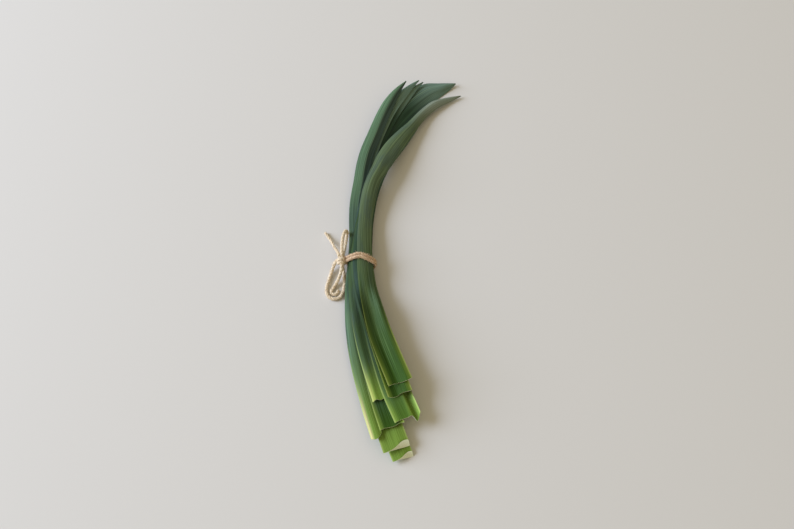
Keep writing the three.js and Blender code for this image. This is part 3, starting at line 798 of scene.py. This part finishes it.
def twine_tree():
    inputs = {
        "Thickness": "Float", "Lay Length": "Float", "Hairs": "Float", "Seed": "Int",
        "Jute": "Material",
    }
    tree, given = geometry_tree("jute_twine", inputs)
    line = node(
        tree, "GeometryNodeResampleCurve", {"Curve": given["Geometry"], "Length": PLY_STEP},
        mode="LENGTH")
    along = node(tree, "GeometryNodeSplineParameter").outputs["Length"]
    normal = node(tree, "GeometryNodeInputNormal").outputs[0]
    tangent = node(tree, "GeometryNodeInputTangent").outputs[0]
    kept = node(tree, "GeometryNodeCaptureAttribute", {"Geometry": line.outputs[0]})
    kept.capture_items.new("FLOAT", "Along")
    kept.capture_items.new("VECTOR", "Normal")
    kept.capture_items.new("VECTOR", "Tangent")
    for socket, field in zip(kept.inputs[1:4], (along, normal, tangent)):
        tree.links.new(field, socket)
    place_along, side, forward = kept.outputs[1:4]
    plies = node(
        tree, "GeometryNodeDuplicateElements", {"Geometry": kept.outputs[0], "Amount": PLIES},
        domain="SPLINE")
    turn = maths(tree, "DIVIDE", place_along, given["Lay Length"])
    third = maths(tree, "DIVIDE", plies.outputs["Duplicate Index"], float(PLIES))
    angle = maths(tree, "MULTIPLY", maths(tree, "ADD", turn, third), 2 * math.pi)
    cross = node(tree, "ShaderNodeVectorMath", {0: forward, 1: side}, operation="CROSS_PRODUCT")
    offset = maths(tree, "MULTIPLY", given["Thickness"], PLY_OFFSET)
    sideways = maths(tree, "MULTIPLY", maths(tree, "COSINE", angle), offset)
    crossways = maths(tree, "MULTIPLY", maths(tree, "SINE", angle), offset)
    beside = scaled(tree, side, sideways)
    beyond = scaled(tree, cross.outputs[0], crossways)
    shift = node(tree, "ShaderNodeVectorMath", {0: beside, 1: beyond}, operation="ADD")
    helix = node(
        tree, "GeometryNodeSetPosition", {"Geometry": plies.outputs[0], "Offset": shift.outputs[0]})
    ply_shift = maths(tree, "MULTIPLY", plies.outputs["Duplicate Index"], PLY_SHIFT)
    lumps = node(
        tree, "ShaderNodeTexNoise", {"W": ply_shift, "Scale": LUMP_SCALE, "Detail": 1.0},
        noise_dimensions="4D")
    swell = maths(tree, "ADD", THINNEST_LUMP, maths(tree, "MULTIPLY", lumps.outputs[0], LUMP_SWELL))
    ply_radius = times(tree, given["Thickness"], PLY_RADIUS, swell)
    sized = node(
        tree, "GeometryNodeSetCurveRadius", {"Curve": helix.outputs[0], "Radius": ply_radius})
    spin = maths(tree, "MULTIPLY", place_along, -2 * math.pi / YARN_LAY)
    tilted = node(tree, "GeometryNodeSetCurveTilt", {"Curve": sized.outputs[0], "Tilt": spin})
    # Each ply's section is a ring of corners with a low bulge for every yarn that is spun into it.
    ring = node(tree, "GeometryNodeCurvePrimitiveCircle", {"Resolution": PLY_SIDES, "Radius": 1.0})
    corner = node(tree, "GeometryNodeInputIndex").outputs[0]
    round_bulge = maths(tree, "COSINE", maths(tree, "MULTIPLY", corner, 2 * math.pi / YARNS))
    lobe = maths(tree, "ADD", 1.0, maths(tree, "MULTIPLY", round_bulge, YARN_BULGE))
    position = node(tree, "GeometryNodeInputPosition").outputs[0]
    yarns = node(
        tree, "GeometryNodeSetPosition",
        {"Geometry": ring.outputs[0], "Position": scaled(tree, position, lobe)})
    radius = node(tree, "GeometryNodeInputRadius").outputs[0]
    swept = node(
        tree, "GeometryNodeCurveToMesh",
        {"Curve": tilted.outputs[0], "Profile Curve": yarns.outputs[0], "Fill Caps": True})
    tree.links.new(radius, swept.inputs["Scale"])
    # Hairs: thin bent fibres that start on the plies and stand out a little.
    roots = node(
        tree, "GeometryNodeDistributePointsOnFaces",
        {"Mesh": swept.outputs[0], "Density": given["Hairs"], "Seed": given["Seed"]})
    hair_line = node(
        tree, "GeometryNodeCurvePrimitiveBezierSegment",
        {"Resolution": HAIR_STEPS, "Start": HAIR_FOOT, "Start Handle": HAIR_FOOT_PULL,
         "End Handle": HAIR_END_PULL, "End": HAIR_END})
    hair_ring = node(
        tree, "GeometryNodeCurvePrimitiveCircle",
        {"Resolution": HAIR_SIDES, "Radius": HAIR_RADIUS})
    hair = node(
        tree, "GeometryNodeCurveToMesh",
        {"Curve": hair_line.outputs[0], "Profile Curve": hair_ring.outputs[0], "Fill Caps": True})
    spun = node(
        tree, "FunctionNodeRandomValue",
        {0: (-HAIR_LEAN, -HAIR_LEAN, 0.0), 1: (HAIR_LEAN, HAIR_LEAN, FULL_TURN), "Seed": given["Seed"]},
        data_type="FLOAT_VECTOR")
    turned = node(
        tree, "FunctionNodeRotateRotation",
        {"Rotation": roots.outputs["Rotation"], "Rotate By": spun.outputs[0]},
        rotation_space="LOCAL")
    size = node(
        tree, "FunctionNodeRandomValue",
        {2: HAIR_SIZES[0], 3: HAIR_SIZES[1], "Seed": given["Seed"]}, data_type="FLOAT")
    hairs = node(
        tree, "GeometryNodeInstanceOnPoints",
        {"Points": roots.outputs["Points"], "Instance": hair.outputs[0], "Rotation": turned.outputs[0],
         "Scale": size.outputs[1]})
    joined = node(tree, "GeometryNodeJoinGeometry")
    tree.links.new(hairs.outputs[0], joined.inputs[0])
    tree.links.new(swept.outputs[0], joined.inputs[0])
    # What lies on the table is pressed flat on it.
    spot = node(
        tree, "ShaderNodeSeparateXYZ", {0: node(tree, "GeometryNodeInputPosition").outputs[0]})
    above = maths(tree, "MAXIMUM", spot.outputs[2], TABLE_CLEAR)
    level = node(
        tree, "ShaderNodeCombineXYZ", {"X": spot.outputs[0], "Y": spot.outputs[1], "Z": above})
    solid = node(tree, "GeometryNodeRealizeInstances", {"Geometry": joined.outputs[0]})
    pressed = node(
        tree, "GeometryNodeSetPosition", {"Geometry": solid.outputs[0], "Position": level.outputs[0]})
    smooth = node(tree, "GeometryNodeSetShadeSmooth", {"Geometry": pressed.outputs[0]})
    fibred = node(
        tree, "GeometryNodeSetMaterial",
        {"Geometry": smooth.outputs[0], "Material": given["Jute"]})
    node(tree, "NodeGroupOutput", {0: fibred.outputs[0]})
    return tree


def jute_fibre():
    """Coarse straw-coloured fibre with fine darker flecks and wider worn patches."""
    inputs = {"Place": "Vector", "Dark": "Color", "Light": "Color"}
    tree, given = shader_group("jute_fibre", inputs, {"Colour": "Color", "Height": "Float"})
    flecks, patches = (
        node(tree, "ShaderNodeTexNoise",
             {"Vector": given["Place"], "Scale": scale, "Detail": detail}).outputs[0]
        for scale, detail in (FLECKS, PATCHES))
    straw = mixed(tree, between(tree, flecks, 0.35, 0.7), given["Dark"], given["Light"])
    worn = times(tree, between(tree, patches, 0.45, 0.7), WORN_SHARE)
    colour = mixed(tree, worn, straw, JUTE_WORN)
    node(tree, "NodeGroupOutput", {"Colour": colour, "Height": flecks})
    return tree


JUTE_FIBRE = jute_fibre()


def jute_material(name, dark, light):
    """Jute between its dark and light colours, with a little fluff that catches the light."""
    material, tree, shader = new_material(name, JUTE_ROUGHNESS)
    where = node(tree, "ShaderNodeTexCoord").outputs["Object"]
    fibre = node(
        tree, "ShaderNodeGroup", {"Place": where, "Dark": dark, "Light": light},
        node_tree=JUTE_FIBRE)
    tree.links.new(fibre.outputs["Colour"], shader.inputs["Base Color"])
    bump = node(
        tree, "ShaderNodeBump",
        {"Height": fibre.outputs["Height"], "Strength": JUTE_BUMP, "Distance": BUMP_DISTANCE})
    tree.links.new(bump.outputs[0], shader.inputs["Normal"])
    shader.inputs["Sheen Weight"].default_value = JUTE_FLUFF
    return material


TWINE_TREE = twine_tree()
JUTE = jute_material("jute_loose", JUTE_DARK, JUTE_LIGHT)


def twine_piece(name, line, node_name, seed, fibre=JUTE, thickness=TWINE):
    """A stretch of twine along a line of points in metres, in place of one solid of the frame."""
    curve = bpy.data.curves.new(name, "CURVE")
    curve.dimensions = "3D"
    spline = curve.splines.new("POLY")
    spline.points.add(len(line) - 1)
    spline.points.foreach_set("co", np.hstack([line, np.ones((len(line), 1))]).ravel())
    piece = bpy.data.objects.new(name, curve)
    bpy.context.scene.collection.objects.link(piece)
    values = {
        "Thickness": thickness * MM, "Lay Length": LAY_LENGTH, "Hairs": HAIR_DENSITY,
        "Seed": seed, "Jute": fibre,
    }
    piece = grown(piece, TWINE_TREE, values)
    piece.name = name
    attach(piece, "root")
    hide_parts(node_name)
    return piece


# The two turns round the bunch: drawn tight, side by side, over the outermost leaves' corners, from
# the knot and back into it.
KNOT = (-4.6, -18.4, 10)
KNOT_HALF = 2
TURN_EXIT = 1.5
TIE_TURNS = (-1.6, 1.6)
WRAP_START = 160
WRAP_POINTS = 49
WRAP_SMOOTHING = 6
SKIN_GAP = 0.15
TABLE_GAP = 0.1
CORNER_STEP = 3
# The turns' jute: darker and more orange than the loose jute of the bow.
WRAP_DARK, WRAP_LIGHT = (0.42, 0.275, 0.155, 1), (0.72, 0.52, 0.34, 1)
WRAP_JUTE = jute_material("jute_wrap_darker", WRAP_DARK, WRAP_LIGHT)


def pressed_corners():
    """Every point of the leaves' sections under the tie, as mm beside the spine and mm up."""
    corners = []
    reach = TIE_SLANT + TWINE
    for t in np.arange(TIE_STATION - reach, TIE_STATION + reach + 1, CORNER_STEP):
        for leaf in laid:
            beside, low, high = leaf.section(t)
            corners += [np.stack([beside, leaf.lift_at(t) + side], -1) for side in (low, high)]
    return np.vstack(corners)


outline = pressed_corners()


def turn_line(beside_middle):
    """One turn, out of the knot's top, over and under the leaves, and into the knot's foot."""
    knot_side = (KNOT[0] + beside_middle, KNOT[1] + TURN_EXIT)
    points = [place(*knot_side, KNOT[2] + KNOT_HALF)]
    for degrees in np.linspace(WRAP_START, -WRAP_START, WRAP_POINTS):
        way = np.array([math.cos(math.radians(degrees)), math.sin(math.radians(degrees))])
        a, z = outline[(outline @ way).argmax()] + way * (TWINE / 2 + SKIN_GAP)
        lean = TIE_SLANT * max(a - TIE_MIDDLE, 0) / TIE_HALF
        points.append(place(TIE_STATION - lean + beside_middle, a, max(z, TWINE / 2 + TABLE_GAP)))
    points.append(place(*knot_side, KNOT[2] - KNOT_HALF))
    return smooth_line(points, WRAP_SMOOTHING)


twine_piece("tie_turn_lower", turn_line(TIE_TURNS[0]), "twine_turn_lower", 10, WRAP_JUTE)
twine_piece("tie_turn_upper", turn_line(TIE_TURNS[1]), "twine_turn_upper", 11, WRAP_JUTE)


# The knot: the twine taken two and a half times round the feet of the bow's loops beside the bunch,
# crossing itself, and pulled tight.
KNOT_TURNS = 2.6
KNOT_POINTS = 150
KNOT_SIZE = (2.3, 2.75, 2.9)
KNOT_CROSSING = 0.62

turn = np.linspace(0, 2 * math.pi * KNOT_TURNS, KNOT_POINTS)
knot_along = KNOT_SIZE[0] * np.sin(turn * KNOT_CROSSING)
knot_across = KNOT_SIZE[1] * np.cos(turn)
knot_up = KNOT_SIZE[2] * np.sin(turn)
knot_line = place(KNOT[0] + knot_along, KNOT[1] + knot_across, KNOT[2] + knot_up)
twine_piece("bow_knot", knot_line, "twine_knot", 12)


# The bow's loops and tails: soft twine that leaves the knot, sags to the table and lies there. The
# upper loop leans on the leaves, the lower one lies flat with the short tail curled in it.
UPPER_LOOP = [
    (0.9, -17.9, 11.4), (5.9, -17.8, 13), (13, -17.5, 14.5), (20.1, -17, 14.5), (25.6, -15.8, 13.5),
    (28.6, -14.2, 11.5), (28, -13.3, 9), (22.7, -13.9, 7), (16, -14.8, 6), (9.7, -15.8, 6),
    (2.6, -17, 7.6),
]
LOWER_LOOP = [
    (-2.6, -23.2, 7.8), (-5, -25.4, 5.5), (-11.1, -28.1, 2.5), (-18.8, -30.8, 1.6),
    (-25.9, -33.2, 1.6), (-31.1, -33.8, 1.6), (-36.1, -32.3, 1.6), (-39, -27.6, 1.6),
    (-38.1, -21.9, 1.6), (-33.5, -18.1, 1.6), (-27, -16.2, 1.6), (-19.6, -15.7, 1.8),
    (-13.4, -16.2, 3.2), (-10, -17, 5),
]
UNLAID_THICKNESS = 2.5
ROUTE_SMOOTHING = 14
LONG_TAIL = [
    (0.8, -20.8, 12), (4.6, -21.4, 10.6), (11, -24.5, 7.2), (20, -29, 4), (26.8, -33.2, 2),
    (31, -36.3, 1.6),
]
SHORT_TAIL = [
    (-9.4, -17.8, 12.4), (-14.6, -18.6, 9.4), (-20.1, -21.2, 5), (-24.5, -24.2, 2.4),
    (-28.1, -27, 1.6), (-30.6, -29, 1.6), (-33.5, -28.7, 1.6), (-34.7, -26, 1.6),
    (-33.3, -23.4, 1.6), (-30.6, -22.3, 1.6),
]


def halfway_in(point):
    """The point halfway from a route's end to the middle of the knot."""
    return tuple(0.5 * (k + p) for k, p in zip(KNOT, point))


def bow_stretch(name, route, node_name, far_end, seed, thickness=TWINE):
    """A loop or tail: its route starts inside the knot, and a loop's route ends there too."""
    back = [halfway_in(route[-1])] if far_end == "object" else []
    through_knot = [halfway_in(route[0]), *route, *back]
    line = smooth_line([place(*point) for point in through_knot], ROUTE_SMOOTHING)
    piece = twine_piece(name, line, node_name, seed, thickness=thickness)


bow_stretch("bow_loop_upper", UPPER_LOOP, "twine_loop_upper", "object", 13)
bow_stretch("bow_loop_lower", LOWER_LOOP, "twine_loop_lower", "object", 14)
bow_stretch("bow_tail_long", LONG_TAIL, "twine_tail_long", "bare", 15, UNLAID_THICKNESS)
bow_stretch("bow_tail_short", SHORT_TAIL, "twine_tail_short", "bare", 16)
